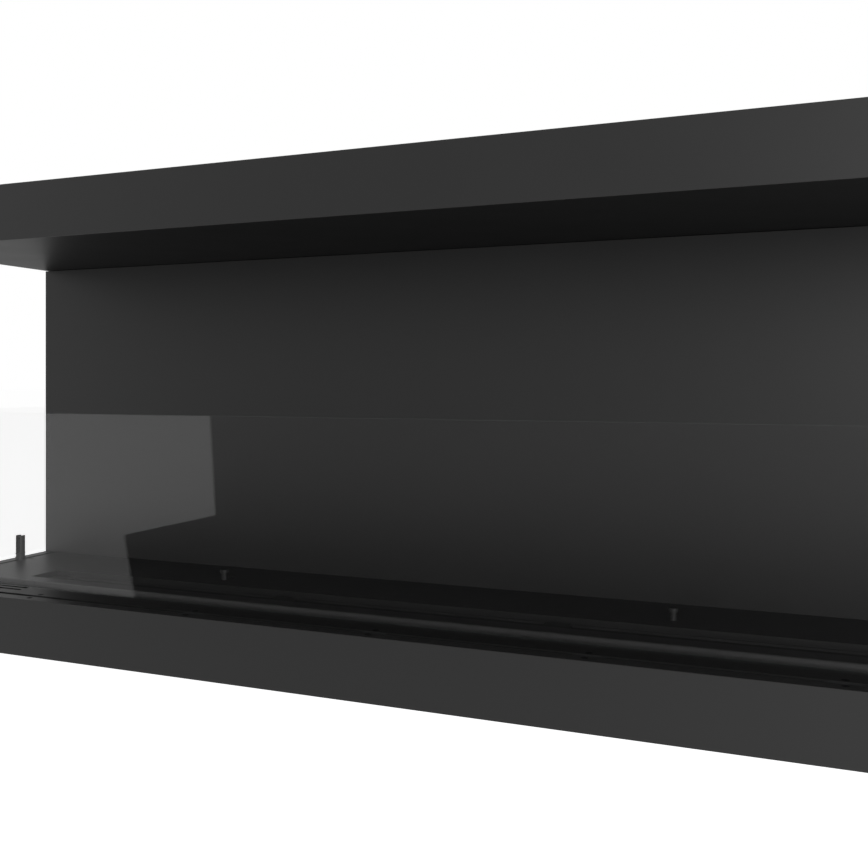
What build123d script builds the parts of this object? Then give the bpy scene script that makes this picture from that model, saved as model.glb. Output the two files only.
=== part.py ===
"""Three-sided built-in fireplace with a slot burner and low glass screens.

A base box, an upright back and a cantilevered hood, folded from black sheet steel, stand
round a firebox that is open at the front and at both ends. The floor of the firebox holds a
long burner recess with a sliding shutter, and three panes stand in slotted posts on its rim.

Millimetres. X runs along the width, the front faces -Y and +Z is up. The origin is the
centre of the underside.
"""

import os

from build123d import *

# Overall size: the firebox and the closed back behind it make up the depth
width = 1200.0
height = 500.0
box_height = 60.0
inner_depth = 240.0
back_depth = 60.0

# Sheet steel and general clearances
sheet = 2.0
edge_radius = 0.8
fit_gap = 0.5
running_gap = 0.3

# Rim of the base: a lip turned in from the fascia, a slit, then the floor plate
top_lip = 14.5
rim_slit = 6.0
under_lip = 20.0
floor_tail = 10.0

# Air slot behind the front pane, with its rear edge bent down and rolled upright
air_slot_inset = 52.0
air_slot_width = 30.0
air_slot_end = 60.0
air_bend = 1.0
air_bend_angle = 60.0
air_roll = 11.0
air_relief = 2.0

# Burner recess in the floor
recess_end = 114.0
recess_setback = 17.0
recess_width = 42.0
recess_depth = 6.7
recess_wall = 1.5

# Flame slot in the burner's top plate, along the rear wall of the recess
flame_slot_end = 26.5
flame_slot_width = 15.5
flame_slot_corner = 3.0

# Lugs on the top plate, level with the floor, by which it is gripped
lug_spacing = 298.0
lug_width = 26.0
lug_length = 15.3
lug_gap = 0.2
lug_edge = 0.4

# Sliding shutter under the top plate, closed at rest
blade_thickness = 2.0
blade_lap = 1.0
blade_tail = 16.0
blade_seat = 2.0
stop_gap = 0.5

# Pull knobs of the shutter, a pair that sits a little left of the middle
knob_spacing = 511.0
knob_shift = -7.4
knob_setback = 27.0
knob_height = 12.3
knob_head_diameter = 10.3
knob_head_height = 4.0
knob_shank_diameter = 7.0
knob_stud_diameter = 4.0
knob_edge = 0.4

# Burner: top plate, tank with bridges that carry the shutter, tray and saddles
top_plate = 2.5
bridge_width = 20.0
bridge_thickness = 3.0
tank_end = 10.0
tank_wall = 1.5
tank_rim = 8.0
tray_wall = 1.2
tray_margin = 14.0
tray_height = 14.0
saddle_width = 40.0
saddle_height = 6.0
saddle_end = 250.0
fibre_gap = 9.6

# Glass panes
glass_thickness = 6.0
glass_foot = 8.7
glass_height = 187.3
glass_corner = 8.0
glass_edge = 0.5
pane_end = 34.0
pane_rear_gap = 19.0

# Posts that hold the panes
post_diameter = 11.0
post_height = 31.3
post_edge = 0.6
collar_step = 0.5
collar_height = 4.0
pad_thickness = 1.0
stud_diameter = 6.0
stud_length = 13.0
nut_width = 10.0
nut_height = 5.0
front_post_end = 75.0
side_post_front = 60.0
side_post_rear = 61.4
grub_diameter = 3.0
grub_drop = 7.7
grub_socket = 1.5
grub_socket_depth = 1.0

# Plates under the rim, and countersunk screws
strap_count = 5
strap_end = 200.0
strap_width = 24.0
strap_thickness = 3.0
screw_offset = 8.0
screw_beside_post = 10.5
screw_diameter = 3.0
screw_seat = 0.4
screw_socket = 2.4
screw_socket_depth = 1.4
screw_clearance = 0.1

# Pairs of inlet slots in the front ledge, one pair at each end
inlet_end = 48.0
inlet_length = 112.5
inlet_width = 4.5
inlet_pitch = 10.5
inlet_web = 2.5

# Back: panel, board, columns and cover
panel_gap = 0.8
board_thickness = 20.0
board_margin = 3.0
column_end = 150.0
column_width = 50.0
column_wall = 2.5
column_foot = 20.0
foot_thickness = 4.0

# Hood: board, arms and lid
hood_board_thickness = 20.0
hood_tail = 15.0
arm_width = 40.0
arm_wall = 2.0
arm_front_gap = 40.0
arm_top_gap = 4.0

# Fixing holes, vents and cover screws
wall_hole_diameter = 9.0
wall_hole_end = 300.0
wall_hole_rise = 80.0
base_hole_diameter = 9.0
base_hole_end = 100.0
base_hole_inset = 50.0
vent_width = 6.0
vent_pitch = 14.0
vent_count = 9
vent_end = 250.0
lid_vent_length = 60.0
base_vent_length = 30.0
base_vent_inset = 56.0
cover_screw_diameter = 4.0
cover_screw_length = 12.0
lid_screw_inset = 10.0
lid_screw_end = 100.0
lid_screw_count = 4

# Planes of the casing
depth = inner_depth + back_depth
x_side = width / 2
y_front = -depth / 2
y_back = depth / 2
y_cover = y_back - sheet
y_panel = y_front + inner_depth
y_middle = y_front + inner_depth / 2
z_pan = 2 * sheet
z_floor = box_height
z_plate = z_floor - sheet
z_hood = height - box_height
z_lid = height - 2 * sheet
x_inside = x_side - sheet - fit_gap
y_inside = y_front + sheet + fit_gap

# The slit and the panes that stand over it
pane_inset = top_lip + rim_slit / 2
x_plate = x_side - top_lip - rim_slit
y_plate = y_front + top_lip + rim_slit
x_pane = x_side - pane_inset
y_pane = y_front + pane_inset
z_pane = z_floor + glass_foot
strap_across = 2 * (pane_inset - sheet - fit_gap)

# Air slot, recess and flame slot, from front to rear
x_air = x_side - air_slot_end
y_air_front = y_front + air_slot_inset
y_bend = y_air_front + air_slot_width
x_recess = x_side - recess_end
y_recess_front = y_bend + recess_setback
y_recess_rear = y_recess_front + recess_width
lug_rear = y_recess_front + lug_gap + lug_length
slot_front = y_recess_rear - flame_slot_width

# Shutter, stacked under the burner's top plate, and the frame that it slides in
x_tank = x_recess + tank_end
knob_y = y_recess_rear + knob_setback
x_blade = x_tank + blade_seat
blade_front = slot_front - blade_lap
blade_rear = knob_y + blade_tail
blade_travel = y_recess_rear + running_gap - blade_front
frame_front = blade_front - stop_gap
frame_rear = blade_rear + blade_travel + stop_gap
z_burner = z_floor - recess_depth
z_frame = z_burner - top_plate
z_blade_top = z_frame - running_gap
z_blade = z_blade_top - blade_thickness
z_tank_top = z_blade - running_gap / 2

# Burner, stacked on the bottom sheet
z_tray = z_pan + saddle_height
z_tank = z_tray + tray_wall
x_rim = x_tank + tank_rim
rim_front = y_bend
rim_rear = frame_rear + tank_rim
tank_front = rim_front + tank_rim
tank_rear = frame_rear
tray_front = tank_front - tray_margin
tray_rear = tank_rear + tray_margin

# Back and hood
y_column = y_panel + sheet + board_thickness
y_hood_tail = y_panel + hood_tail
x_board = x_side - sheet - board_margin
z_arm = z_hood + sheet + hood_board_thickness

# Sides that repeat
sides = {"left": -1, "right": 1}
thirds = {"left": -1, "centre": 0, "right": 1}


def save(builder, name):
    """Label a finished piece and write it as its own file."""
    builder.part.label = name
    export_step(builder.part, f"parts/{name}.step")


def block(low, high, mode=Mode.ADD):
    """A box between two corners, joined to or cut from the piece that is being built."""
    size = [b - a for a, b in zip(low, high)]
    with Locations(tuple((a + b) / 2 for a, b in zip(low, high))):
        Box(*size, mode=mode)


def disc(x, y, z, radius, rise):
    """An upright cylinder that stands on a point."""
    with Locations((x, y, z)):
        Cylinder(radius, rise, align=(Align.CENTER, Align.CENTER, Align.MIN))


def outer_block(low, high):
    """A box with its front corners and its front and end edges softened, as folded sheet is."""
    block(low, high)
    fillet(edges().filter_by(Axis.Z).group_by(Axis.Y)[0], edge_radius)
    rims = edges().filter_by(Axis.Z, reverse=True).sort_by(Axis.Y)
    rear = edges().group_by(Axis.Y)[-1]
    fillet([edge for edge in rims if edge not in rear], edge_radius)


def up(x, y, z):
    """A plane at a point, facing up."""
    return Plane(origin=(x, y, z))


def rearward(x, y, z):
    """A plane at a point, facing the rear."""
    return Plane(origin=(x, y, z), x_dir=(1, 0, 0), z_dir=(0, 1, 0))


def head_radius(diameter, plate):
    """The head of a countersunk screw that leaves a seat at the bottom of its plate."""
    return diameter / 2 + plate - screw_seat


def screw(diameter, plate, length):
    """A countersunk screw whose head lies at the origin and whose shank points down."""
    radius = diameter / 2
    head = head_radius(diameter, plate)
    with BuildPart() as made:
        with BuildSketch(Plane.XZ):
            with BuildLine():
                outline = [(0, 0), (head, 0), (radius, radius - head), (radius, -length), (0, -length)]
                Polyline(*outline, close=True)
            make_face()
        revolve(axis=Axis.Z)
        with BuildSketch():
            RegularPolygon(screw_socket / 2, 6)
        extrude(amount=-screw_socket_depth, mode=Mode.SUBTRACT)
    return made


def sunk_holes(planes, diameter, plate):
    """Countersunk holes through a plate, clear of the screws that fill them."""
    with Locations(*planes):
        CounterSinkHole(
            diameter / 2 + screw_clearance,
            head_radius(diameter, plate) + screw_clearance,
            depth=plate,
            counter_sink_angle=90,
        )


def drill(planes, diameter, depth, clearance=screw_clearance):
    """Plain holes for screws or studs of a diameter."""
    with Locations(*planes):
        Hole(diameter / 2 + clearance, depth=depth)


def vents(z, y, length):
    """Two banks of slots through a sheet whose underside is at a height."""
    with BuildSketch(Plane.XY.offset(z)) as slots:
        with Locations((vent_end - x_side, y), (x_side - vent_end, y)):
            with GridLocations(vent_pitch, 0, vent_count, 1):
                SlotOverall(length, vent_width, rotation=90)
    extrude(slots.sketch, amount=sheet, mode=Mode.SUBTRACT)


def knob_slots():
    """Two slots in which the studs of the knobs run to the rear, drawn in the sketch that is being built."""
    bore = knob_stud_diameter + 2 * running_gap
    with Locations((knob_shift, knob_y + blade_travel / 2)):
        with GridLocations(knob_spacing, 0, 2, 1):
            SlotOverall(blade_travel + bore + 2 * running_gap, bore, rotation=90)


def pane(plane, length):
    """A glass pane with rounded corners, standing on a plane's origin."""
    across = Axis(plane.origin, plane.z_dir)
    with BuildPart() as made:
        with BuildSketch(plane):
            with Locations((0, glass_height / 2)):
                RectangleRounded(length, glass_height, glass_corner)
        extrude(amount=glass_thickness / 2, both=True)
        chamfer(edges().group_by(across)[0], glass_edge)
        chamfer(edges().group_by(across)[-1], glass_edge)
    return made


def pair(place, across):
    """The two screw places that straddle the slit at a point."""
    x, y = place
    return [(x + sign * across[0] * screw_offset, y + sign * across[1] * screw_offset) for sign in (-1, 1)]


def beside(place, along):
    """The point beside a post where its plate is screwed."""
    x, y = place
    step_x = -screw_beside_post if x > 0 else screw_beside_post
    step_y = screw_beside_post if y > y_middle else -screw_beside_post
    return (x + along[0] * step_x, y + along[1] * step_y)


# Posts: the place of each, the way its pane runs, and the way to the firebox
posts = {}
for side, sign in sides.items():
    posts[f"front_{side}"] = ((sign * (x_side - front_post_end), y_pane), (1, 0), (0, 1))
    posts[f"{side}_front"] = ((sign * x_pane, y_front + side_post_front), (0, 1), (-sign, 0))
    posts[f"{side}_rear"] = ((sign * x_pane, y_panel - side_post_rear), (0, 1), (-sign, 0))
stud_places = [place for place, along, inward in posts.values()]

# Screw places along the slit: at the straps and beside the posts
strap_first = strap_end - x_side
strap_step = (width - 2 * strap_end) / (strap_count - 1)
strap_places = [(strap_first + i * strap_step, y_pane) for i in range(strap_count)]
strap_pairs = [pair(place, (0, 1)) for place in strap_places]
post_pairs = [pair(beside(place, along), inward) for place, along, inward in posts.values()]
rim_places = [spot for two in strap_pairs + post_pairs for spot in two]
rim_planes = [up(x, y, z_floor) for x, y in rim_places]
rim_studs = [up(x, y, z_floor) for x, y in stud_places]

os.makedirs("parts", exist_ok=True)

# Base fascia: front and ends folded from one sheet, with lips turned in above and below
with BuildPart() as base_shell:
    outer_block((-x_side, y_front, 0), (x_side, y_cover, z_floor))
    block((sheet - x_side, y_front + sheet, sheet), (x_side - sheet, y_cover, z_plate), Mode.SUBTRACT)
    block((top_lip - x_side, y_front + top_lip, z_plate), (x_side - top_lip, y_cover, z_floor), Mode.SUBTRACT)
    block((under_lip - x_side, y_front + under_lip, 0), (x_side - under_lip, y_cover, sheet), Mode.SUBTRACT)
    sunk_holes(rim_planes, screw_diameter, sheet)
    drill(rim_studs, stud_diameter, sheet, running_gap)
save(base_shell, "base_shell")

# Bottom sheet of the base, with fixing holes and two banks of air inlets
with BuildPart() as base_pan:
    block((-x_inside, y_inside, sheet), (x_inside, y_cover - fit_gap, z_pan))
    with Locations((0, 0, z_pan)):
        with GridLocations(width - 2 * base_hole_end, depth - 2 * base_hole_inset, 2, 2):
            Hole(base_hole_diameter / 2, depth=sheet)
    vents(sheet, y_front + base_vent_inset, base_vent_length)
save(base_pan, "base_pan")

# Floor of the firebox: air slot, burner opening with folded walls, knob and inlet slots, screw holes
inlet_x = x_side - inlet_end - inlet_length / 2
inlet_y = y_air_front - inlet_web - (inlet_width + inlet_pitch) / 2
with BuildPart() as floor_plate:
    block((-x_plate, y_plate, z_plate), (x_plate, y_panel + floor_tail, z_floor))
    block((-x_air, y_air_front, z_plate), (x_air, y_bend, z_floor), Mode.SUBTRACT)
    with BuildSketch(Plane.YZ.offset(air_relief - x_air)):
        with BuildLine():
            outer = JernArc((y_bend, z_floor), (-1, 0), air_bend + sheet, air_bend_angle)
            inner = JernArc((y_bend, z_plate), (-1, 0), air_bend, air_bend_angle)
            outer_roll = JernArc(outer @ 1, outer % 1, air_roll + sheet, 90 - air_bend_angle)
            inner_roll = JernArc(inner @ 1, inner % 1, air_roll, 90 - air_bend_angle)
            Line(outer_roll @ 1, inner_roll @ 1)
            Line(inner @ 0, outer @ 0)
        make_face()
    extrude(amount=2 * (x_air - air_relief))
    wall_low = (-x_recess - recess_wall, y_recess_front - recess_wall, z_burner + running_gap)
    wall_high = (x_recess + recess_wall, y_recess_rear + recess_wall, z_floor)
    block(wall_low, wall_high)
    block((-x_recess, y_recess_front, z_burner), (x_recess, y_recess_rear, z_floor), Mode.SUBTRACT)
    with BuildSketch(Plane.XY.offset(z_plate)):
        knob_slots()
        with Locations((0, inlet_y)):
            with GridLocations(2 * inlet_x, inlet_pitch, 2, 2):
                Rectangle(inlet_length, inlet_width)
    extrude(amount=sheet, mode=Mode.SUBTRACT)
    sunk_holes(rim_planes, screw_diameter, sheet)
    drill(rim_studs, stud_diameter, sheet, running_gap)
save(floor_plate, "floor_plate")

# Straps that bridge the slit along the front
with BuildPart() as joining_straps:
    with Locations(*[up(x, y, z_plate - strap_thickness / 2) for x, y in strap_places]):
        Box(strap_width, strap_across, strap_thickness)
    drill([up(x, y, z_plate) for two in strap_pairs for x, y in two], screw_diameter, strap_thickness)
save(joining_straps, "joining_straps")

# Plates that bridge the slit under each post
with BuildPart() as post_plates:
    for place, along, inward in posts.values():
        x, y = beside(place, along)
        strap_along = strap_width + screw_beside_post
        plate_x = strap_along if along[0] else strap_across
        plate_y = strap_across if along[0] else strap_along
        with Locations(((place[0] + x) / 2, (place[1] + y) / 2, z_plate - strap_thickness / 2)):
            Box(plate_x, plate_y, strap_thickness)
    drill([up(x, y, z_plate) for two in post_pairs for x, y in two], screw_diameter, strap_thickness)
    drill([up(x, y, z_plate) for x, y in stud_places], stud_diameter, strap_thickness, running_gap)
save(post_plates, "post_plates")

rim_screw = screw(screw_diameter, sheet, sheet + strap_thickness)
with BuildPart() as rim_screws:
    with Locations(*rim_planes):
        add(rim_screw.part)
save(rim_screws, "rim_screws")

# Back panel with its end returns, standing on the floor plate and on the lips
with BuildPart() as back_panel:
    block((-x_side, y_panel, z_floor), (x_side, y_cover, z_hood - panel_gap))
    fillet(edges().filter_by(Axis.Z).group_by(Axis.Y)[0], edge_radius)
    hollow_high = (x_side - sheet, y_cover, z_hood - panel_gap)
    block((sheet - x_side, y_panel + sheet, z_floor), hollow_high, Mode.SUBTRACT)
save(back_panel, "back_panel")

# Insulating board behind the panel
with BuildPart() as back_board:
    board_low = (-x_board, y_panel + sheet, z_floor + board_margin)
    block(board_low, (x_board, y_column, z_hood - board_margin))
save(back_board, "back_board")

# Columns that carry the hood, with welded feet, and the arms that reach out over the firebox
cover_rows = [box_height / 2, height / 2, height - box_height / 2]
for third, sign in thirds.items():
    x = sign * (x_side - column_end)
    with BuildPart() as column:
        half = column_width / 2
        block((x - half, y_column, z_pan), (x + half, y_cover, z_lid))
        hollow = half - column_wall
        hollow_low = (x - hollow, y_column + column_wall, z_pan)
        block(hollow_low, (x + hollow, y_cover - column_wall, z_lid), Mode.SUBTRACT)
        foot = half + column_foot
        block((x - foot, y_column, z_pan), (x + foot, y_cover - fit_gap, z_pan + foot_thickness))
        drill([rearward(x, y_cover, z) for z in cover_rows], cover_screw_diameter, cover_screw_length)
    save(column, f"column_{third}")
    with BuildPart() as hood_arm:
        half = arm_width / 2
        arm_front = y_front + arm_front_gap
        arm_top = z_lid - arm_top_gap
        block((x - half, arm_front, z_arm), (x + half, y_column, arm_top))
        hollow = half - arm_wall
        hollow_high = (x + hollow, y_column, arm_top - arm_wall)
        block((x - hollow, arm_front, z_arm + arm_wall), hollow_high, Mode.SUBTRACT)
    save(hood_arm, f"hood_arm_{third}")

# Rear cover with its wall fixing holes
column_places = [sign * (x_side - column_end) for sign in thirds.values()]
cover_planes = [rearward(x, y_back, z) for x in column_places for z in cover_rows]
with BuildPart() as rear_cover:
    block((-x_side, y_cover, 0), (x_side, y_back, height))
    with Locations(rearward(0, y_back, height / 2)):
        with GridLocations(width - 2 * wall_hole_end, height - 2 * wall_hole_rise, 2, 2):
            Hole(wall_hole_diameter / 2, depth=sheet)
    sunk_holes(cover_planes, cover_screw_diameter, sheet)
save(rear_cover, "rear_cover")

cover_screw = screw(cover_screw_diameter, sheet, cover_screw_length)
with BuildPart() as rear_cover_screws:
    with Locations(*cover_planes):
        add(cover_screw.part)
save(rear_cover_screws, "rear_cover_screws")

# Hood: a tray whose floor is the ceiling of the firebox, with lips turned in round its top
lid_first = lid_screw_end - x_side
lid_step = (width - 2 * lid_screw_end) / (lid_screw_count - 1)
lid_places = [(lid_first + i * lid_step, y_front + lid_screw_inset) for i in range(lid_screw_count)]
lid_places += [(sign * (x_side - lid_screw_inset), y) for sign in sides.values() for y in (y_middle, y_panel)]
lid_planes = [up(x, y, height) for x, y in lid_places]
with BuildPart() as hood_shell:
    outer_block((-x_side, y_front, z_hood), (x_side, y_cover, height))
    hollow_high = (x_side - sheet, y_cover, height - sheet)
    block((sheet - x_side, y_front + sheet, z_hood + sheet), hollow_high, Mode.SUBTRACT)
    lid_low = (under_lip - x_side, y_front + under_lip, height - sheet)
    block(lid_low, (x_side - under_lip, y_cover, height), Mode.SUBTRACT)
    block((sheet - x_side, y_hood_tail, z_hood), (x_side - sheet, y_cover, z_hood + sheet), Mode.SUBTRACT)
    sunk_holes(lid_planes, cover_screw_diameter, sheet)
save(hood_shell, "hood_shell")

# Insulating board on the hood's floor
with BuildPart() as hood_board:
    board_low = (-x_board, y_front + sheet + board_margin, z_hood + sheet)
    block(board_low, (x_board, y_hood_tail, z_arm))
save(hood_board, "hood_board")

# Lid of the hood, under the lips, with two banks of vents
with BuildPart() as hood_lid:
    block((-x_inside, y_inside, z_lid), (x_inside, y_cover - fit_gap, height - sheet))
    vents(z_lid, 0, lid_vent_length)
    drill([up(x, y, height - sheet) for x, y in lid_places], cover_screw_diameter, sheet)
save(hood_lid, "hood_lid")

with BuildPart() as hood_lid_screws:
    with Locations(*lid_planes):
        add(cover_screw.part)
save(hood_lid_screws, "hood_lid_screws")

# Burner: saddles on the bottom sheet, drip tray, tank with bridges, fibre bed, frame and slotted top plate
x_saddle = x_side - saddle_end
for third, sign in thirds.items():
    with BuildPart() as burner_saddle:
        half = saddle_width / 2
        x = sign * x_saddle
        block((x - half, tray_front, z_pan), (x + half, tray_rear, z_tray))
        hollow = half - sheet
        block((x - hollow, tray_front, z_pan), (x + hollow, tray_rear, z_tray - sheet), Mode.SUBTRACT)
    save(burner_saddle, f"burner_saddle_{third}")

x_tray = x_tank + tray_margin
with BuildPart() as drip_tray:
    block((-x_tray, tray_front, z_tray), (x_tray, tray_rear, z_tray + tray_height))
    hollow_low = (tray_wall - x_tray, tray_front + tray_wall, z_tank)
    hollow_high = (x_tray - tray_wall, tray_rear - tray_wall, z_tray + tray_height)
    block(hollow_low, hollow_high, Mode.SUBTRACT)
save(drip_tray, "drip_tray")

rim_rows = [rim_front + tank_rim / 2, rim_rear - tank_rim / 2]
rim_spots = [(sign * x_saddle, y) for sign in thirds.values() for y in rim_rows]
with BuildPart() as fuel_tank:
    block((-x_tank, tank_front, z_tank), (x_tank, tank_rear, z_tank_top))
    block((-x_rim, rim_front, z_tank_top - tank_wall), (x_rim, rim_rear, z_tank_top))
    inner_low = (tank_wall - x_tank, tank_front + tank_wall, z_tank + tank_wall)
    block(inner_low, (x_tank - tank_wall, tank_rear - tank_wall, z_tank_top), Mode.SUBTRACT)
    drill([up(x, y, z_tank_top) for x, y in rim_spots], screw_diameter, tank_wall)
save(fuel_tank, "fuel_tank")

for third, sign in thirds.items():
    with BuildPart() as tank_bridge:
        half = bridge_width / 2
        x = sign * x_saddle
        bridge_low = (x - half, tank_front + tank_wall, z_tank_top - bridge_thickness)
        block(bridge_low, (x + half, tank_rear - tank_wall, z_tank_top))
    save(tank_bridge, f"tank_bridge_{third}")

with BuildPart() as fibre_bed:
    inset = tank_wall + fit_gap
    bed_low = (inset - x_tank, tank_front + inset, z_tank + tank_wall)
    block(bed_low, (x_tank - inset, tank_rear - inset, z_tank_top - fibre_gap))
save(fibre_bed, "fibre_bed")

with BuildPart() as blade_frame:
    block((-x_rim, rim_front, z_tank_top), (x_rim, rim_rear, z_frame))
    x_space = x_blade + running_gap
    block((-x_space, frame_front, z_tank_top), (x_space, frame_rear, z_frame), Mode.SUBTRACT)
    drill([up(x, y, z_frame) for x, y in rim_spots], screw_diameter, z_frame - z_tank_top)
save(blade_frame, "blade_frame")

burner_planes = [up(x, y, z_burner) for x, y in rim_spots]
x_flame = x_recess - flame_slot_end
with BuildPart() as burner_top:
    block((-x_rim, rim_front, z_frame), (x_rim, rim_rear, z_burner))
    with BuildSketch(Plane.XY.offset(z_frame)):
        knob_slots()
        with Locations((0, (slot_front + y_recess_rear) / 2)):
            RectangleRounded(2 * x_flame, flame_slot_width, flame_slot_corner)
    extrude(amount=top_plate, mode=Mode.SUBTRACT)
    sunk_holes(burner_planes, screw_diameter, top_plate)
save(burner_top, "burner_top")

burner_screw = screw(screw_diameter, top_plate, z_burner - z_tank_top + 2 * tank_wall)
with BuildPart() as burner_screws:
    with Locations(*burner_planes):
        add(burner_screw.part)
save(burner_screws, "burner_screws")

# Lugs on the burner's top plate
for side, sign in sides.items():
    with BuildPart() as grip_lug:
        half = lug_width / 2
        x = sign * lug_spacing / 2
        block((x - half, y_recess_front + lug_gap, z_burner), (x + half, lug_rear, z_floor))
        fillet(edges().group_by(Axis.Z)[-1], lug_edge)
    save(grip_lug, f"grip_lug_{side}")

# Shutter blade, and the two knobs whose studs reach it through the floor and the top plate
knob_places = {side: knob_shift + sign * knob_spacing / 2 for side, sign in sides.items()}
with BuildPart() as shutter_blade:
    block((-x_blade, blade_front, z_blade), (x_blade, blade_rear, z_blade_top))
    drill([up(x, knob_y, z_blade_top) for x in knob_places.values()], knob_stud_diameter, blade_thickness)
save(shutter_blade, "shutter_blade")

z_shank = z_floor + running_gap
z_knob_head = z_floor + knob_height - knob_head_height
for side, x in knob_places.items():
    with BuildPart() as pull_knob:
        disc(x, knob_y, z_knob_head, knob_head_diameter / 2, knob_head_height)
        fillet(edges().filter_by(GeomType.CIRCLE), knob_edge)
        disc(x, knob_y, z_shank, knob_shank_diameter / 2, z_knob_head - z_shank)
        disc(x, knob_y, z_blade, knob_stud_diameter / 2, z_shank - z_blade)
    save(pull_knob, f"pull_knob_{side}")

# Panes above the slit, clear of each other at the corners
front_plane = Plane(origin=(0, y_pane, z_pane), x_dir=(1, 0, 0), z_dir=(0, -1, 0))
save(pane(front_plane, width - 2 * pane_end), "glass_front")
side_front = y_front + pane_end
side_rear = y_panel - pane_rear_gap
for side, sign in sides.items():
    origin = (sign * x_pane, (side_front + side_rear) / 2, z_pane)
    side_plane = Plane(origin=origin, x_dir=(0, 1, 0), z_dir=(1, 0, 0))
    save(pane(side_plane, side_rear - side_front), f"glass_{side}")

# Slotted posts with a collar, a stud below the floor and a side hole for the grub screw
groove = glass_thickness + 2 * running_gap
collar = post_diameter + 2 * collar_step
z_groove = z_pane - pad_thickness
z_post_top = z_floor + post_height
z_grub = z_post_top - grub_drop
for name, (place, along, inward) in posts.items():
    x, y = place
    with BuildPart() as post:
        disc(x, y, z_floor, post_diameter / 2, post_height)
        fillet(edges().group_by(Axis.Z)[-1], post_edge)
        disc(x, y, z_floor, collar / 2, collar_height)
        disc(x, y, z_floor - stud_length, stud_diameter / 2, stud_length)
        half_x = (collar if along[0] else groove) / 2
        half_y = (groove if along[0] else collar) / 2
        block((x - half_x, y - half_y, z_groove), (x + half_x, y + half_y, z_post_top), Mode.SUBTRACT)
        with BuildSketch(Plane(origin=(x, y, z_grub), z_dir=(*inward, 0))):
            Circle(grub_diameter / 2 + screw_clearance)
        extrude(amount=post_diameter / 2, mode=Mode.SUBTRACT)
    save(post, f"glass_post_{name}")

# Pads under the panes, grub screws beside them, and nuts under the plates
with BuildPart() as post_pads:
    for (x, y), along, inward in posts.values():
        pad_x = post_diameter if along[0] else glass_thickness
        pad_y = glass_thickness if along[0] else post_diameter
        with Locations((x, y, z_groove + pad_thickness / 2)):
            Box(pad_x, pad_y, pad_thickness)
save(post_pads, "post_pads")

with BuildPart() as post_grub_screws:
    for (x, y), along, inward in posts.values():
        inner_end = Vector(x, y, z_grub) + Vector(*inward) * (groove / 2)
        outer_end = Vector(x, y, z_grub) + Vector(*inward) * (post_diameter / 2)
        with BuildSketch(Plane(origin=inner_end, z_dir=(*inward, 0))):
            Circle(grub_diameter / 2)
        extrude(amount=(post_diameter - groove) / 2)
        with BuildSketch(Plane(origin=outer_end, z_dir=(*inward, 0))):
            RegularPolygon(grub_socket / 2, 6)
        extrude(amount=-grub_socket_depth, mode=Mode.SUBTRACT)
save(post_grub_screws, "post_grub_screws")

with BuildPart() as post_nuts:
    with BuildSketch(Plane.XY.offset(z_plate - strap_thickness - nut_height)):
        with Locations(*stud_places):
            RegularPolygon(nut_width / 2, 6, major_radius=False)
            Circle(stud_diameter / 2 + screw_clearance, mode=Mode.SUBTRACT)
    extrude(amount=nut_height)
save(post_nuts, "post_nuts")

print("shutter travel", round(blade_travel, 2), "mm")
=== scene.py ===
"""Built-in fireplace of black sheet steel: finishes, fibre bed, studio and camera."""

import logging
import math
from dataclasses import dataclass
from enum import Enum

import bmesh
import bpy
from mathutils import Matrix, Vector, noise

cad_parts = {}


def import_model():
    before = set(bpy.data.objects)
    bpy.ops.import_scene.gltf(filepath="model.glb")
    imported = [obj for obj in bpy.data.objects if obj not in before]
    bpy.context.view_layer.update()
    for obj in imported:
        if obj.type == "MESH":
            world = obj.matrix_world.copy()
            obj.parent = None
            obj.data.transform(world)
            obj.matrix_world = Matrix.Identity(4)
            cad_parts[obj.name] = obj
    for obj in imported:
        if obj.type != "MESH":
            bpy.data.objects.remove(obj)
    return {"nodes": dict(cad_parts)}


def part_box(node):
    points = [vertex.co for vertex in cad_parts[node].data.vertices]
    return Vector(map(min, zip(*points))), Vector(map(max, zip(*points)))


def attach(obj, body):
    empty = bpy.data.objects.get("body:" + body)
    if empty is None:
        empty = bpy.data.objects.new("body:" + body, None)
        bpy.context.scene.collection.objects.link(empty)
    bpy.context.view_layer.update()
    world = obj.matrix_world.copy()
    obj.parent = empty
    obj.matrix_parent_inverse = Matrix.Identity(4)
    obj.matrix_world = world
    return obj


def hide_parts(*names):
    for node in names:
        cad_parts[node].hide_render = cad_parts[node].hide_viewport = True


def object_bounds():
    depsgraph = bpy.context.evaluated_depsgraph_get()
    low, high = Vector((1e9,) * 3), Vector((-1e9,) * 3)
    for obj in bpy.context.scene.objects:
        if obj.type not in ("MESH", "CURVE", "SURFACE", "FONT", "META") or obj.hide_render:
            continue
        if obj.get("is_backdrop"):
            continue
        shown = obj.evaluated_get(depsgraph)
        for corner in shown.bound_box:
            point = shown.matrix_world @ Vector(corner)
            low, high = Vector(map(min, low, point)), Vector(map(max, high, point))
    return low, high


LOG = logging.getLogger("fireplace")
MM = 0.001
WHITE = "#ffffff"
WIDTH_AND_DEPTH = (Vector((1, 0, 0)), Vector((0, 1, 0)))

# Places of a Mix node's colour sockets, which share their names with its number sockets
COLOUR_A = 6
COLOUR_B = 7
COLOUR_OUT = 2

Nodes = dict[str, bpy.types.Object]
Box = tuple[Vector, Vector]
Span = tuple[float, float]
Colour = tuple[float, float, float, float]


class Surface(Enum):
    """Finishes of the fireplace, by the record's slot names."""

    POWDER_COAT = "powder_coat"
    HEAT_PAINT = "burner_black"
    BLACK_SCREW = "black_screw"
    STAINLESS = "stainless"
    ZINC_STEEL = "zinc_steel"
    MINERAL_BOARD = "mineral_board"
    CERAMIC_FIBRE = "ceramic_fibre"
    SILICONE = "silicone"


class PaneFace(Enum):
    """Axis that a pane's two large faces look along."""

    SIDEWAYS = "X"
    FORWARD = "Y"


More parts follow.
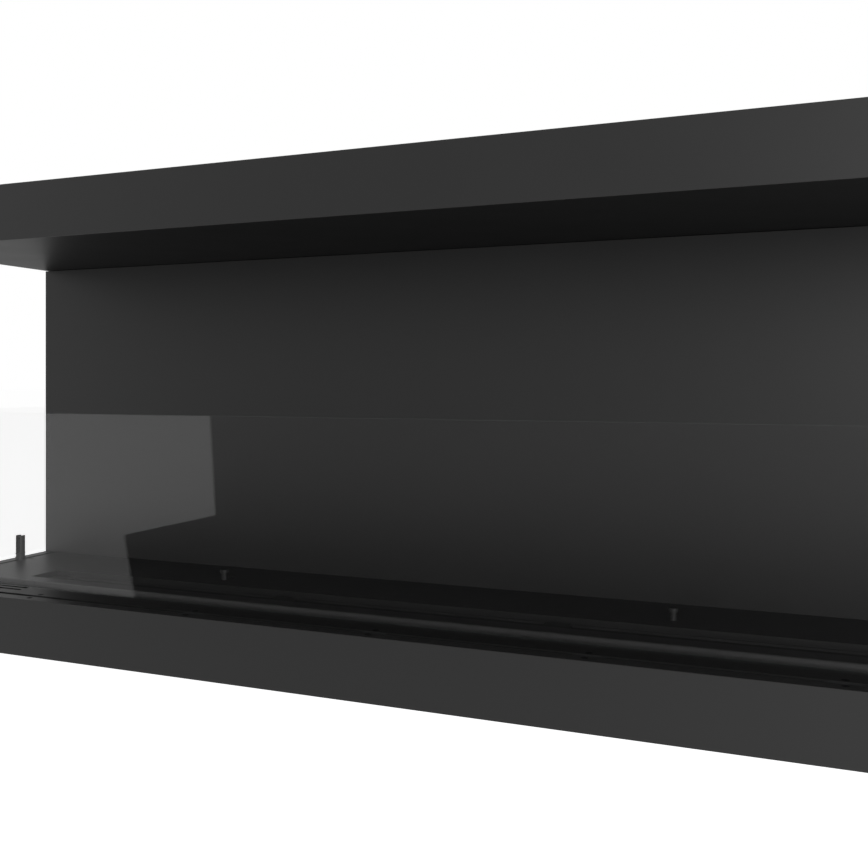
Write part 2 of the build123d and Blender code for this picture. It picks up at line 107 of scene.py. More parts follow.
def linear(hex_code: str) -> Colour:
    """Turn an sRGB hex code into a linear colour.

    Args:
        hex_code: Six hex digits after a hash.

    Returns:
        Red, green, blue and an alpha of one.
    """
    shares = [int(hex_code[place : place + 2], 16) / 255 for place in (1, 3, 5)]
    red, green, blue = (s / 12.92 if s <= 0.04045 else ((s + 0.055) / 1.055) ** 2.4 for s in shares)
    return red, green, blue, 1.0


def per_metre(size_mm: float) -> float:
    """Texture scale at which a pattern repeats every size_mm millimetres."""
    return 1 / (size_mm * MM)


def add_node(
    tree: bpy.types.NodeTree,
    kind: str,
    settings: dict[str | int, object] | None = None,
    links: dict[str | int, bpy.types.NodeSocket] | None = None,
) -> bpy.types.Node:
    """Add one node to a tree.

    Args:
        tree: The tree that gets the node.
        kind: Blender's name for the type of node.
        settings: Values by the node's own property, or by the name or index of an input.
        links: Outputs that feed the node, by the name or index of the input.

    Returns:
        The new node.
    """
    node = tree.nodes.new(kind)
    for key, value in (settings or {}).items():
        if isinstance(key, str) and hasattr(node, key):
            setattr(node, key, value)
        else:
            node.inputs[key].default_value = value
    for key, source in (links or {}).items():
        tree.links.new(source, node.inputs[key])
    return node


def straight_ray(tree: bpy.types.NodeTree) -> bpy.types.NodeSocket:
    """Tell straight rays from bounced ones.

    Args:
        tree: The tree that asks.

    Returns:
        A socket that is 1 for a ray that has passed nothing but clear glass, else 0.
    """
    path = add_node(tree, "ShaderNodeLightPath")
    bounces = add_node(
        tree,
        "ShaderNodeMath",
        {"operation": "ADD"},
        {0: path.outputs["Diffuse Depth"], 1: path.outputs["Glossy Depth"]},
    )
    straight = add_node(tree, "ShaderNodeMath", {"operation": "LESS_THAN", 1: 1.0}, {0: bounces.outputs[0]})
    return straight.outputs[0]


def cut(shape: bmesh.types.BMesh, place: Vector, across: Vector) -> None:
    """Cut a shape's faces along a plane and keep both sides.

    Args:
        shape: The shape.
        place: A point of the plane.
        across: The plane's normal.
    """
    bmesh.ops.bisect_plane(
        shape,
        geom=shape.verts[:] + shape.edges[:] + shape.faces[:],
        plane_co=place,
        plane_no=across,
    )


def to_object(shape: bmesh.types.BMesh, name: str) -> bpy.types.Object:
    """Turn a shape into an object of the scene.

    Args:
        shape: The shape, which is freed.
        name: The object's name.

    Returns:
        The new object.
    """
    mesh = bpy.data.meshes.new(name)
    shape.to_mesh(mesh)
    shape.free()
    piece = bpy.data.objects.new(name, mesh)
    bpy.context.scene.collection.objects.link(piece)
    return piece


@dataclass(frozen=True)
class Finish:
    """What every finish has: a name and a way to become a material."""

    name: str

    def make(self) -> bpy.types.Material:
        """Build the material.

        Returns:
            The new material, with its shader linked to the output.
        """
        material = bpy.data.materials.new(self.name)
        material.use_nodes = True
        tree = material.node_tree
        tree.nodes.clear()
        coords = add_node(tree, "ShaderNodeTexCoord")
        shader = self.shade(tree, coords)
        add_node(tree, "ShaderNodeOutputMaterial", links={"Surface": shader.outputs[0]})
        return material

    def shade(self, tree: bpy.types.NodeTree, coords: bpy.types.Node) -> bpy.types.Node:
        """Add the finish's own nodes.

        Args:
            tree: The material's tree.
            coords: Its texture coordinates.

        Returns:
            The node whose first output is the surface.
        """
        raise NotImplementedError


@dataclass(frozen=True)
class CoatedSteel(Finish):
    """Powder, heat-proof paint or black oxide on steel.

    To the eye it is a deep black with a satin sheen, a fine orange peel and slow cloudy shifts in tone.
    The grain of the coat shades itself, so at a low angle it mirrors less than a smooth lacquer would: its
    level falls between the two angles of low_span, where 0 is seen straight on and 1 along the surface.
    A real peel is about 0.5 mm wide, which no pixel shows, so it is drawn wider.
    """

    dark: str
    light: str
    smooth: float
    rough: float
    peel_mm: float
    peel_depth_mm: float
    cloud_mm: float
    ior: float = 1.4
    level_straight: float = 0.5
    level_low: float = 0.045
    low_span: Span = (0.45, 0.85)

    def shade(self, tree: bpy.types.NodeTree, coords: bpy.types.Node) -> bpy.types.Node:
        """Add the coat's nodes, as Finish.shade says."""
        place = coords.outputs["Object"]
        cloud = add_node(
            tree,
            "ShaderNodeTexNoise",
            {"Scale": per_metre(self.cloud_mm), "Detail": 3.0},
            {"Vector": place},
        )
        tone = add_node(
            tree,
            "ShaderNodeMix",
            {"data_type": "RGBA", COLOUR_A: linear(self.dark), COLOUR_B: linear(self.light)},
            {"Factor": cloud.outputs[0]},
        )
        sheen = add_node(
            tree,
            "ShaderNodeMapRange",
            {"To Min": self.smooth, "To Max": self.rough},
            {"Value": cloud.outputs[0]},
        )
        peel = add_node(
            tree,
            "ShaderNodeTexNoise",
            {"Scale": per_metre(self.peel_mm), "Detail": 2.0},
            {"Vector": place},
        )
        bump = add_node(
            tree,
            "ShaderNodeBump",
            {"Distance": self.peel_depth_mm * MM},
            {"Height": peel.outputs[0]},
        )
        angle = add_node(tree, "ShaderNodeLayerWeight")
        level = add_node(
            tree,
            "ShaderNodeMapRange",
            {
                "From Min": self.low_span[0],
                "From Max": self.low_span[1],
                "To Min": self.level_straight,
                "To Max": self.level_low,
            },
            {"Value": angle.outputs["Facing"]},
        )
        return add_node(
            tree,
            "ShaderNodeBsdfPrincipled",
            {"IOR": self.ior},
            {
                "Base Color": tone.outputs[COLOUR_OUT],
                "Roughness": sheen.outputs[0],
                "Normal": bump.outputs[0],
                "Specular IOR Level": level.outputs[0],
            },
        )


@dataclass(frozen=True)
class PlatedSteel(Finish):
    """Zinc on steel.

    To the eye it is a metal with soft reflections and blotches of tone a few millimetres wide, where the
    bath took unevenly.
    """

    dark: str = "#9ea4a8"
    light: str = "#c6cbce"
    smooth: float = 0.28
    rough: float = 0.46
    blotch_mm: float = 7.0

    def shade(self, tree: bpy.types.NodeTree, coords: bpy.types.Node) -> bpy.types.Node:
        """Add the plating's nodes, as Finish.shade says."""
        blotch = add_node(
            tree,
            "ShaderNodeTexNoise",
            {"Scale": per_metre(self.blotch_mm), "Detail": 4.0},
            {"Vector": coords.outputs["Object"]},
        )
        tone = add_node(
            tree,
            "ShaderNodeMix",
            {"data_type": "RGBA", COLOUR_A: linear(self.dark), COLOUR_B: linear(self.light)},
            {"Factor": blotch.outputs[0]},
        )
        sheen = add_node(
            tree,
            "ShaderNodeMapRange",
            {"To Min": self.smooth, "To Max": self.rough},
            {"Value": blotch.outputs[0]},
        )
        return add_node(
            tree,
            "ShaderNodeBsdfPrincipled",
            {"Metallic": 1.0},
            {"Base Color": tone.outputs[COLOUR_OUT], "Roughness": sheen.outputs[0]},
        )


@dataclass(frozen=True)
class BrushedStainless(Finish):
    """Stainless sheet brushed along its length.

    To the eye it has fine lines along the length that spread reflections across it. Real lines are about
    0.1 mm apart, too fine to show, so they are drawn wider.
    """

    dark: str = "#8d8c88"
    light: str = "#bdbcb7"
    smooth: float = 0.24
    rough: float = 0.42
    line_mm: float = 0.8
    run_mm: float = 60.0
    line_depth_mm: float = 0.01

    def shade(self, tree: bpy.types.NodeTree, coords: bpy.types.Node) -> bpy.types.Node:
        """Add the brushed sheet's nodes, as Finish.shade says."""
        across = per_metre(self.line_mm)
        stretched = add_node(
            tree,
            "ShaderNodeMapping",
            {"Scale": (per_metre(self.run_mm), across, across)},
            {"Vector": coords.outputs["Object"]},
        )
        lines = add_node(
            tree,
            "ShaderNodeTexNoise",
            {"Scale": 1.0, "Detail": 3.0},
            {"Vector": stretched.outputs[0]},
        )
        tone = add_node(
            tree,
            "ShaderNodeMix",
            {"data_type": "RGBA", COLOUR_A: linear(self.dark), COLOUR_B: linear(self.light)},
            {"Factor": lines.outputs[0]},
        )
        sheen = add_node(
            tree,
            "ShaderNodeMapRange",
            {"To Min": self.smooth, "To Max": self.rough},
            {"Value": lines.outputs[0]},
        )
        bump = add_node(
            tree,
            "ShaderNodeBump",
            {"Distance": self.line_depth_mm * MM},
            {"Height": lines.outputs[0]},
        )
        return add_node(
            tree,
            "ShaderNodeBsdfPrincipled",
            {"Metallic": 1.0},
            {
                "Base Color": tone.outputs[COLOUR_OUT],
                "Roughness": sheen.outputs[0],
                "Normal": bump.outputs[0],
            },
        )


@dataclass(frozen=True)
class ClearGlass(Finish):
    """Toughened clear glass with ground edges, too thin to bend what is seen through it.

    To the eye the two faces are clear and mirror a little, more so at a low angle, and the ground edges
    scatter some light and show the trace of green in the glass. A surface is an edge where its normal's
    part along the faces' axis is below face_from.
    """

    face: PaneFace
    mirror_share: float
    mirror_power: float = 5.0
    face_tint: str = "#fefefe"
    face_from: float = 0.95
    edge_tint: str = "#a9b3ae"
    edge_share: float = 0.03

    def shade(self, tree: bpy.types.NodeTree, coords: bpy.types.Node) -> bpy.types.Node:
        """Add the glass's nodes, as Finish.shade says."""
        angle = add_node(tree, "ShaderNodeLayerWeight")
        low_angle = add_node(
            tree,
            "ShaderNodeMath",
            {"operation": "POWER", 1: self.mirror_power},
            {0: angle.outputs["Facing"]},
        )
        mirrored = add_node(
            tree,
            "ShaderNodeMapRange",
            {"To Min": self.mirror_share, "To Max": 1.0},
            {"Value": low_angle.outputs[0]},
        )
        clear = add_node(tree, "ShaderNodeBsdfTransparent", {"Color": linear(self.face_tint)})
        mirror = add_node(tree, "ShaderNodeBsdfGlossy", {"Color": linear(WHITE), "Roughness": 0.0})
        polished = add_node(
            tree,
            "ShaderNodeMixShader",
            links={0: mirrored.outputs[0], 1: clear.outputs[0], 2: mirror.outputs[0]},
        )
        scatter = add_node(tree, "ShaderNodeBsdfDiffuse", {"Color": linear(self.edge_tint)})
        ground = add_node(
            tree,
            "ShaderNodeMixShader",
            {0: self.edge_share},
            {1: clear.outputs[0], 2: scatter.outputs[0]},
        )
        normal = add_node(tree, "ShaderNodeSeparateXYZ", links={"Vector": coords.outputs["Normal"]})
        along = add_node(
            tree,
            "ShaderNodeMath",
            {"operation": "ABSOLUTE"},
            {0: normal.outputs[self.face.value]},
        )
        edge = add_node(
            tree,
            "ShaderNodeMath",
            {"operation": "LESS_THAN", 1: self.face_from},
            {0: along.outputs[0]},
        )
        return add_node(
            tree,
            "ShaderNodeMixShader",
            links={0: edge.outputs[0], 1: polished.outputs[0], 2: ground.outputs[0]},
        )


@dataclass(frozen=True)
class MineralBoard(Finish):
    """Pressed vermiculite: flakes of tan and brown mica a few millimetres wide, bound into a dull board."""

    dark: str = "#8a6f45"
    light: str = "#d3bd92"
    flake_mm: float = 3.0
    flake_depth_mm: float = 0.2
    roughness: float = 0.85

    def shade(self, tree: bpy.types.NodeTree, coords: bpy.types.Node) -> bpy.types.Node:
        """Add the board's nodes, as Finish.shade says."""
        flakes = add_node(
            tree,
            "ShaderNodeTexVoronoi",
            {"Scale": per_metre(self.flake_mm)},
            {"Vector": coords.outputs["Object"]},
        )
        tone = add_node(
            tree,
            "ShaderNodeMix",
            {"data_type": "RGBA", COLOUR_A: linear(self.dark), COLOUR_B: linear(self.light)},
            {"Factor": flakes.outputs["Color"]},
        )
        bump = add_node(
            tree,
            "ShaderNodeBump",
            {"Distance": self.flake_depth_mm * MM},
            {"Height": flakes.outputs["Distance"]},
        )
        return add_node(
            tree,
            "ShaderNodeBsdfPrincipled",
            {"Roughness": self.roughness},
            {"Base Color": tone.outputs[COLOUR_OUT], "Normal": bump.outputs[0]},
        )


@dataclass(frozen=True)
class CeramicFibre(Finish):
    """Needled ceramic fibre: a dull white felt whose matted strands run along the blanket."""

    dark: str = "#c4bfb2"
    light: str = "#efece4"
    strand_mm: float = 0.7
    run_mm: float = 9.0
    strand_depth_mm: float = 0.5
    roughness: float = 0.95

    def shade(self, tree: bpy.types.NodeTree, coords: bpy.types.Node) -> bpy.types.Node:
        """Add the felt's nodes, as Finish.shade says."""
        across = per_metre(self.strand_mm)
        stretched = add_node(
            tree,
            "ShaderNodeMapping",
            {"Scale": (per_metre(self.run_mm), across, across)},
            {"Vector": coords.outputs["Object"]},
        )
        strands = add_node(
            tree,
            "ShaderNodeTexNoise",
            {"Scale": 1.0, "Detail": 5.0, "Distortion": 1.5},
            {"Vector": stretched.outputs[0]},
        )
        tone = add_node(
            tree,
            "ShaderNodeMix",
            {"data_type": "RGBA", COLOUR_A: linear(self.dark), COLOUR_B: linear(self.light)},
            {"Factor": strands.outputs[0]},
        )
        bump = add_node(
            tree,
            "ShaderNodeBump",
            {"Distance": self.strand_depth_mm * MM},
            {"Height": strands.outputs[0]},
        )
        return add_node(
            tree,
            "ShaderNodeBsdfPrincipled",
            {"Roughness": self.roughness},
            {"Base Color": tone.outputs[COLOUR_OUT], "Normal": bump.outputs[0]},
        )


@dataclass(frozen=True)
class Silicone(Finish):
    """Moulded black silicone: dull and dark, with faint dust in a fine grain."""

    dark: str = "#1c1c1c"
    light: str = "#2c2c2b"
    grain_mm: float = 1.0
    roughness: float = 0.6
    ior: float = 1.41

    def shade(self, tree: bpy.types.NodeTree, coords: bpy.types.Node) -> bpy.types.Node:
        """Add the silicone's nodes, as Finish.shade says."""
        grain = add_node(
            tree,
            "ShaderNodeTexNoise",
            {"Scale": per_metre(self.grain_mm)},
            {"Vector": coords.outputs["Object"]},
        )
        tone = add_node(
            tree,
            "ShaderNodeMix",
            {"data_type": "RGBA", COLOUR_A: linear(self.dark), COLOUR_B: linear(self.light)},
            {"Factor": grain.outputs[0]},
        )
        return add_node(
            tree,
            "ShaderNodeBsdfPrincipled",
            {"Roughness": self.roughness, "IOR": self.ior},
            {"Base Color": tone.outputs[COLOUR_OUT]},
        )


@dataclass(frozen=True)
class FloorPaint(Finish):
    """Matt pale paint of the studio's floor.

    To the eye it glows, so that it looks white wherever no shadow falls. As any pale floor does, it lights
    the hood a little from below. Bounced rays pass through it.
    """

    colour: str = "#e6e6e6"
    glow: float = 0.96

    def shade(self, tree: bpy.types.NodeTree, coords: bpy.types.Node) -> bpy.types.Node:
        """Add the paint's nodes, as Finish.shade says."""
        matt = add_node(tree, "ShaderNodeBsdfDiffuse", {"Color": linear(self.colour)})
        glow = add_node(tree, "ShaderNodeEmission", {"Color": linear(WHITE), "Strength": self.glow})
        paint = add_node(tree, "ShaderNodeAddShader", links={0: matt.outputs[0], 1: glow.outputs[0]})
        clear = add_node(tree, "ShaderNodeBsdfTransparent")
        return add_node(
            tree,
            "ShaderNodeMixShader",
            links={0: straight_ray(tree), 1: clear.outputs[0], 2: paint.outputs[0]},
        )


@dataclass(frozen=True)
class CardPaint(Finish):
    """Glowing white of the studio's card, which dims a little between low_span's two heights in metres."""

    glow: float = 0.84
    low_glow: float = 0.68
    low_span: Span = (-0.36, -0.1)

    def shade(self, tree: bpy.types.NodeTree, coords: bpy.types.Node) -> bpy.types.Node:
        """Add the card's nodes, as Finish.shade says."""
        place = add_node(tree, "ShaderNodeSeparateXYZ", links={"Vector": coords.outputs["Object"]})
        strength = add_node(
            tree,
            "ShaderNodeMapRange",
            {
                "interpolation_type": "SMOOTHSTEP",
                "From Min": self.low_span[0],
                "From Max": self.low_span[1],
                "To Min": self.low_glow,
                "To Max": self.glow,
            },
            {"Value": place.outputs["Z"]},
        )
        return add_node(
            tree,
            "ShaderNodeEmission",
            {"Color": linear(WHITE)},
            {"Strength": strength.outputs[0]},
        )


FINISHES: dict[Surface, Finish] = {
    Surface.POWDER_COAT: CoatedSteel(
        "powder_coat_satin_black",
        dark="#171717",
        light="#1b1b1b",
        smooth=0.41,
        rough=0.47,
        peel_mm=1.6,
        peel_depth_mm=0.003,
        cloud_mm=60.0,
    ),
    Surface.HEAT_PAINT: CoatedSteel(
        "heat_paint_satin_black",
        dark="#141414",
        light="#181818",
        smooth=0.5,
        rough=0.58,
        peel_mm=1.5,
        peel_depth_mm=0.004,
        cloud_mm=35.0,
    ),
    Surface.BLACK_SCREW: CoatedSteel(
        "black_oxide_steel",
        dark="#101011",
        light="#171718",
        smooth=0.45,
        rough=0.6,
        peel_mm=1.0,
        peel_depth_mm=0.003,
        cloud_mm=2.0,
        level_straight=0.15,
        level_low=0.0,
    ),
    Surface.STAINLESS: BrushedStainless("stainless_brushed"),
    Surface.ZINC_STEEL: PlatedSteel("zinc_plated_steel"),
    Surface.MINERAL_BOARD: MineralBoard("vermiculite_board"),
    Surface.CERAMIC_FIBRE: CeramicFibre("ceramic_fibre_felt"),
    Surface.SILICONE: Silicone("silicone_black"),
}


@dataclass
class Assembly:
    """A sub-assembly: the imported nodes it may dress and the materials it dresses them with."""

    nodes: Nodes
    palette: dict[Surface, bpy.types.Material]

    def wear(self, material: bpy.types.Material, *names: str) -> None:
        """Give nodes one material.

        Args:
            material: The material.
            names: The nodes.
        """
        for name in names:
            for slot in self.nodes[name].material_slots:
                slot.link = "OBJECT"
                slot.material = material
            LOG.info("%s wears %s", name, material.name)

    def paint(self, surface: Surface, *names: str) -> None:
        """Give nodes one of the palette's finishes."""
        self.wear(self.palette[surface], *names)


@dataclass
class Casing(Assembly):
    """Base box: fascia with lips, bottom sheet, floor of the firebox, straps and rim screws."""

    def dress(self) -> None:
        """Give every node of the base its finish."""
        self.paint(Surface.POWDER_COAT, "base_shell", "base_pan", "floor_plate")
        self.paint(Surface.ZINC_STEEL, "joining_straps", "post_plates")
        self.paint(Surface.BLACK_SCREW, "rim_screws")


@dataclass
class Back(Assembly):
    """Back wall: panel, insulating board, columns and rear cover."""

    def dress(self) -> None:
        """Give every node of the back its finish."""
        self.paint(Surface.POWDER_COAT, "back_panel", "rear_cover")
        self.paint(Surface.MINERAL_BOARD, "back_board")
        self.paint(Surface.ZINC_STEEL, "column_left", "column_centre", "column_right")
        self.paint(Surface.BLACK_SCREW, "rear_cover_screws")


@dataclass
class Hood(Assembly):
    """Hood: shell, insulating board, arms and lid."""

    def dress(self) -> None:
        """Give every node of the hood its finish."""
        self.paint(Surface.POWDER_COAT, "hood_shell", "hood_lid")
        self.paint(Surface.MINERAL_BOARD, "hood_board")
        self.paint(Surface.ZINC_STEEL, "hood_arm_left", "hood_arm_centre", "hood_arm_right")
        self.paint(Surface.BLACK_SCREW, "hood_lid_screws")


@dataclass
class Burner(Assembly):
    """Slot burner: saddles, tray, tank, frame, top plate with lugs, and fibre that soaks up the fuel."""

    edge_mm: float = 3.0
    edge_steps: int = 3
    cell_mm: float = 9.0
    lump_mm: float = 26.0
    sink_mm: float = 1.6

    def dress(self) -> None:
        """Give every node of the burner its finish."""
        self.paint(Surface.STAINLESS, "burner_saddle_left", "burner_saddle_centre", "burner_saddle_right")
        self.paint(Surface.STAINLESS, "drip_tray", "fuel_tank", "blade_frame")
        self.paint(Surface.STAINLESS, "tank_bridge_left", "tank_bridge_centre", "tank_bridge_right")
        self.paint(Surface.HEAT_PAINT, "burner_top", "grip_lug_left", "grip_lug_right")
        self.paint(Surface.BLACK_SCREW, "burner_screws")
        self.paint(Surface.CERAMIC_FIBRE, "fibre_bed")

    def build_fibre(self) -> None:
        """Model the fibre blanket: a slab with soft edges whose top lies a little uneven."""
        low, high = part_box("fibre_bed")
        shape = bmesh.new()
        bmesh.ops.create_cube(shape, size=1.0)
        bmesh.ops.scale(shape, vec=high - low, verts=shape.verts)
        bmesh.ops.translate(shape, vec=(low + high) / 2, verts=shape.verts)
        bmesh.ops.bevel(
            shape,
            geom=shape.edges[:],
            offset=self.edge_mm * MM,
            affect="EDGES",
            segments=self.edge_steps,
            profile=0.5,
            material=-1,
        )
        for across in WIDTH_AND_DEPTH:
            cells = round((high - low).dot(across) / (self.cell_mm * MM))
            for step in range(1, cells):
                cut(shape, low.lerp(high, step / cells), across)
        middle = (low.z + high.z) / 2
        for vertex in shape.verts:
            if vertex.co.z > middle:
                lump = (1 + noise.noise(vertex.co * per_metre(self.lump_mm))) / 2
                vertex.co.z -= self.sink_mm * MM * lump
        piece = to_object(shape, "fibre_blanket")
        piece.data.shade_smooth()
        piece.data.materials.append(self.palette[Surface.CERAMIC_FIBRE])
        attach(piece, "casing")
        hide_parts("fibre_bed")
        LOG.info("built %s", piece.name)


@dataclass
class Shutter(Assembly):
    """Shutter under the flame slot: blade and pull knobs."""

    def dress(self) -> None:
        """Give every node of the shutter its finish."""
        self.paint(Surface.HEAT_PAINT, "shutter_blade", "pull_knob_left", "pull_knob_right")


@dataclass
class Screens(Assembly):
    """Wind screens: three panes, their posts and what holds the posts."""

    front_mirror: float = 0.028
    side_mirror: float = 0.012

    def dress(self) -> None:
        """Give every node of the screens its finish."""
        self.glaze(PaneFace.FORWARD, self.front_mirror, "glass_front")
        self.glaze(PaneFace.SIDEWAYS, self.side_mirror, "glass_left", "glass_right")
        posts = [name for name in self.nodes if name.startswith("glass_post")]
        self.paint(Surface.POWDER_COAT, *sorted(posts))
        self.paint(Surface.SILICONE, "post_pads")
        self.paint(Surface.BLACK_SCREW, "post_grub_screws")
        self.paint(Surface.ZINC_STEEL, "post_nuts")

    def glaze(self, face: PaneFace, mirror_share: float, *names: str) -> None:
        """Make panes of clear glass that lamps shine through.

        Args:
            face: Where the panes' large faces look.
            mirror_share: How much they mirror when seen straight on.
            names: The panes' nodes.
        """
        glass = ClearGlass(f"clear_glass_{face.name.lower()}", face, mirror_share).make()
        self.wear(glass, *names)
        for name in names:
            self.nodes[name].visible_shadow = False


@dataclass(frozen=True)
class Surroundings:
    """White surroundings, which glow by direction and by the kind of ray that meets them.

    The eye meets plain white, and a matte surface a dim even light. A satin surface meets white at the
    sides and behind, and in front a pale room that is brighter low down, most of all on the right, and
    black underneath. A mirror meets white behind and a faint glare elsewhere. A span holds the two parts
    of a ray's direction between which one glow turns smoothly into another.
    """

    ambient: float = 0.04
    room: float = 0.86
    room_low: float = 1.2
    room_low_right: float = 2.2
    glare: float = 0.08
    glare_low: float = 0.04
    right_span: Span = (-0.25, 0.15)
    low_span: Span = (-0.45, -0.1)
    under_span: Span = (-1.0, -0.65)
    glare_span: Span = (-0.17, -0.03)
    around_span: Span = (0.5, 0.8)

    def satin_front(self, tree: bpy.types.NodeTree, toward: bpy.types.Node) -> bpy.types.NodeSocket:
        """Add the room that satin surfaces meet in front.

        Args:
            tree: The world's tree.
            toward: The parts of the ray's direction.

        Returns:
            How much the room glows.
        """
        low = add_node(
            tree,
            "ShaderNodeMapRange",
            {
                "interpolation_type": "SMOOTHSTEP",
                "From Min": self.right_span[0],
                "From Max": self.right_span[1],
                "To Min": self.room_low,
                "To Max": self.room_low_right,
            },
            {"Value": toward.outputs["X"]},
        )
        room = add_node(
            tree,
            "ShaderNodeMapRange",
            {
                "interpolation_type": "SMOOTHSTEP",
                "From Min": self.low_span[0],
                "From Max": self.low_span[1],
                "To Max": self.room,
            },
            {"Value": toward.outputs["Z"], "To Min": low.outputs[0]},
        )
        above = add_node(
            tree,
            "ShaderNodeMapRange",
            {
                "interpolation_type": "SMOOTHSTEP",
                "From Min": self.under_span[0],
                "From Max": self.under_span[1],
            },
            {"Value": toward.outputs["Z"]},
        )
        front = add_node(
            tree,
            "ShaderNodeMath",
            {"operation": "MULTIPLY"},
            {0: room.outputs[0], 1: above.outputs[0]},
        )
        return front.outputs[0]

    def white_around(
        self, tree: bpy.types.NodeTree, toward: bpy.types.Node, off_mirror: bpy.types.NodeSocket
    ) -> bpy.types.NodeSocket:
        """Tell the sides and the rear, which are white, from the front.

        Args:
            tree: The world's tree.
            toward: The parts of the ray's direction.
            off_mirror: 1 for a ray off a mirror, for which only the rear is white, else 0.

        Returns:
            1 where it is white, 0 in front.
        """
        sideways = add_node(tree, "ShaderNodeMath", {"operation": "ABSOLUTE"}, {0: toward.outputs["X"]})
        satin_only = add_node(
            tree,
            "ShaderNodeMix",
            {"B": 0.0},
            {"Factor": off_mirror, "A": sideways.outputs[0]},
        )
        away = add_node(
            tree,
            "ShaderNodeMath",
            {"operation": "MAXIMUM"},
            {0: satin_only.outputs[0], 1: toward.outputs["Y"]},
        )
        around = add_node(
            tree,
            "ShaderNodeMapRange",
            {
                "interpolation_type": "SMOOTHSTEP",
                "From Min": self.around_span[0],
                "From Max": self.around_span[1],
            },
            {"Value": away.outputs[0]},
        )
        return around.outputs[0]

    def build(self) -> None:
        """Make the world and let the scene use it."""
        world = bpy.data.worlds.new("studio_white")
        world.use_nodes = True
        world.cycles.sampling_method = "NONE"
        tree = world.node_tree
        tree.nodes.clear()
        coords = add_node(tree, "ShaderNodeTexCoord")
        toward = add_node(tree, "ShaderNodeSeparateXYZ", links={"Vector": coords.outputs["Generated"]})
        path = add_node(tree, "ShaderNodeLightPath")
        off_mirror = path.outputs["Is Singular Ray"]
        glare = add_node(
            tree,
            "ShaderNodeMapRange",
            {
                "interpolation_type": "SMOOTHSTEP",
                "From Min": self.glare_span[0],
                "From Max": self.glare_span[1],
                "To Min": self.glare_low,
                "To Max": self.glare,
            },
            {"Value": toward.outputs["Z"]},
        )
        front = add_node(
            tree,
            "ShaderNodeMix",
            links={"Factor": off_mirror, "A": self.satin_front(tree, toward), "B": glare.outputs[0]},
        )
        glossy = add_node(
            tree,
            "ShaderNodeMix",
            {"B": 1.0},
            {"Factor": self.white_around(tree, toward, off_mirror), "A": front.outputs[0]},
        )
        seen = add_node(
            tree,
            "ShaderNodeMix",
            {"B": 1.0},
            {"Factor": straight_ray(tree), "A": glossy.outputs[0]},
        )
        matte = add_node(
            tree,
            "ShaderNodeMath",
            {"operation": "GREATER_THAN", 1: 0.0},
            {0: path.outputs["Diffuse Depth"]},
        )
        strength = add_node(
            tree,
            "ShaderNodeMix",
            {"B": self.ambient},
            {"Factor": matte.outputs[0], "A": seen.outputs[0]},
        )
        sky = add_node(
            tree,
            "ShaderNodeBackground",
            {"Color": linear(WHITE)},
            {"Strength": strength.outputs[0]},
        )
        add_node(tree, "ShaderNodeOutputWorld", links={"Surface": sky.outputs[0]})
        bpy.context.scene.world = world


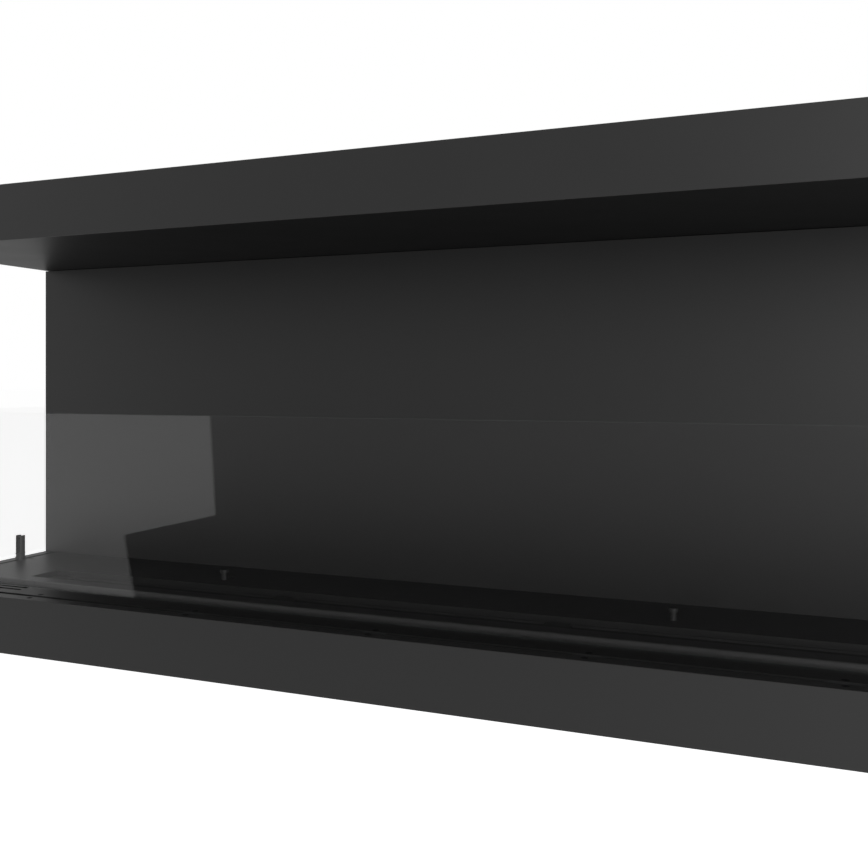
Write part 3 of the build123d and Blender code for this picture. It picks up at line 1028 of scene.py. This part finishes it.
@dataclass
class Studio:
    """White studio: surroundings, floor, one lamp and the card that the front pane mirrors."""

    footprint: Box
    footprint_inset: float = 0.002
    floor_half: float = 30.0
    floor_drop: float = 0.0002
    card_depth: float = -2.2
    card_outline: tuple[tuple[float, float], ...] = (
        (-2.75, 0.35),
        (-1.645, 0.35),
        (-1.611, -0.174),
        (-2.007, -0.267),
        (-1.93, -0.62),
        (-2.75, -0.62),
    )
    lamp_place: tuple[float, float, float] = (1.75, -2.0, 0.8)
    lamp_target: tuple[float, float, float] = (0.2, -0.1, 0.25)
    lamp_size: tuple[float, float] = (2.2, 1.6)
    lamp_watts: float = 40.0

    def build_floor(self) -> None:
        """Lay a pale floor that glows, but not under the object, where it would shine through the vents."""
        inset = Vector((self.footprint_inset, self.footprint_inset, 0))
        low, high = self.footprint[0] + inset, self.footprint[1] - inset
        shape = bmesh.new()
        bmesh.ops.create_grid(shape, x_segments=1, y_segments=1, size=self.floor_half)
        for corner in (low, high):
            for across in WIDTH_AND_DEPTH:
                cut(shape, corner, across)
        for face in shape.faces:
            middle = face.calc_center_median()
            under = low.x < middle.x < high.x and low.y < middle.y < high.y
            face.material_index = int(under)
        bmesh.ops.translate(shape, vec=(0, 0, -self.floor_drop), verts=shape.verts)
        floor = to_object(shape, "studio_floor")
        floor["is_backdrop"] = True
        floor.visible_glossy = False
        floor.data.materials.append(FloorPaint("floor_pale").make())
        floor.data.materials.append(FloorPaint("floor_under_object", glow=0.0).make())

    def build_card(self) -> None:
        """Hang a white card in front that only reflections show."""
        shape = bmesh.new()
        corners = [shape.verts.new((x, self.card_depth, z)) for x, z in self.card_outline]
        shape.faces.new(corners)
        card = to_object(shape, "studio_card")
        card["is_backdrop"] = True
        card.visible_camera = False
        card.visible_diffuse = False
        card.visible_transmission = False
        card.visible_shadow = False
        card.data.materials.append(CardPaint("card_white").make())

    def build_lamp(self) -> None:
        """Set one soft lamp in front on the right, aimed at the firebox."""
        lamp = bpy.data.lights.new("soft_box", "AREA")
        lamp.shape = "RECTANGLE"
        lamp.size, lamp.size_y = self.lamp_size
        lamp.energy = self.lamp_watts
        holder = bpy.data.objects.new("soft_box", lamp)
        holder.location = self.lamp_place
        sight = Vector(self.lamp_target) - Vector(self.lamp_place)
        holder.rotation_euler = sight.to_track_quat("-Z", "Y").to_euler()
        holder.visible_camera = False
        bpy.context.scene.collection.objects.link(holder)

    def build(self) -> None:
        """Build the whole studio."""
        Surroundings().build()
        self.build_floor()
        self.build_card()
        self.build_lamp()
        LOG.info("built the studio")


@dataclass
class PhotoCamera:
    """Camera that sees the object as the photograph does, with its lens in pixels of that square frame.

    It is level, which is a tilt of 90 degrees from looking straight down.
    """

    frame_px: float = 868.0
    focal_px: float = 982.8
    horizon_px: float = 382.15
    sensor_mm: float = 36.0
    place: tuple[float, float, float] = (0.3945, -0.9433, 0.289)
    tilt_degrees: float = 90.0
    turn_degrees: float = 22.33

    def build(self) -> None:
        """Make the camera and let the scene use it."""
        lens = bpy.data.cameras.new("photo_camera")
        lens.sensor_width = self.sensor_mm
        lens.lens = self.sensor_mm * self.focal_px / self.frame_px
        lens.shift_y = (self.horizon_px - self.frame_px / 2) / self.frame_px
        camera = bpy.data.objects.new("photo_camera", lens)
        camera.location = self.place
        camera.rotation_euler = (math.radians(self.tilt_degrees), 0, math.radians(self.turn_degrees))
        bpy.context.scene.collection.objects.link(camera)
        bpy.context.scene.camera = camera
        LOG.info("built the camera")


def main() -> None:
    """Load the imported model, dress it, and build the studio and the camera."""
    logging.basicConfig(level=logging.INFO, format="%(name)s: %(message)s")
    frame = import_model()
    packed_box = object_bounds()
    PhotoCamera().build()
    nodes = frame["nodes"]
    palette = {surface: finish.make() for surface, finish in FINISHES.items()}
    Casing(nodes, palette).dress()
    Back(nodes, palette).dress()
    Hood(nodes, palette).dress()
    burner = Burner(nodes, palette)
    burner.dress()
    burner.build_fibre()
    Shutter(nodes, palette).dress()
    Screens(nodes, palette).dress()
    Studio(packed_box).build()
    bpy.context.scene.view_settings.view_transform = "Standard"


if __name__ == "__main__":
    main()
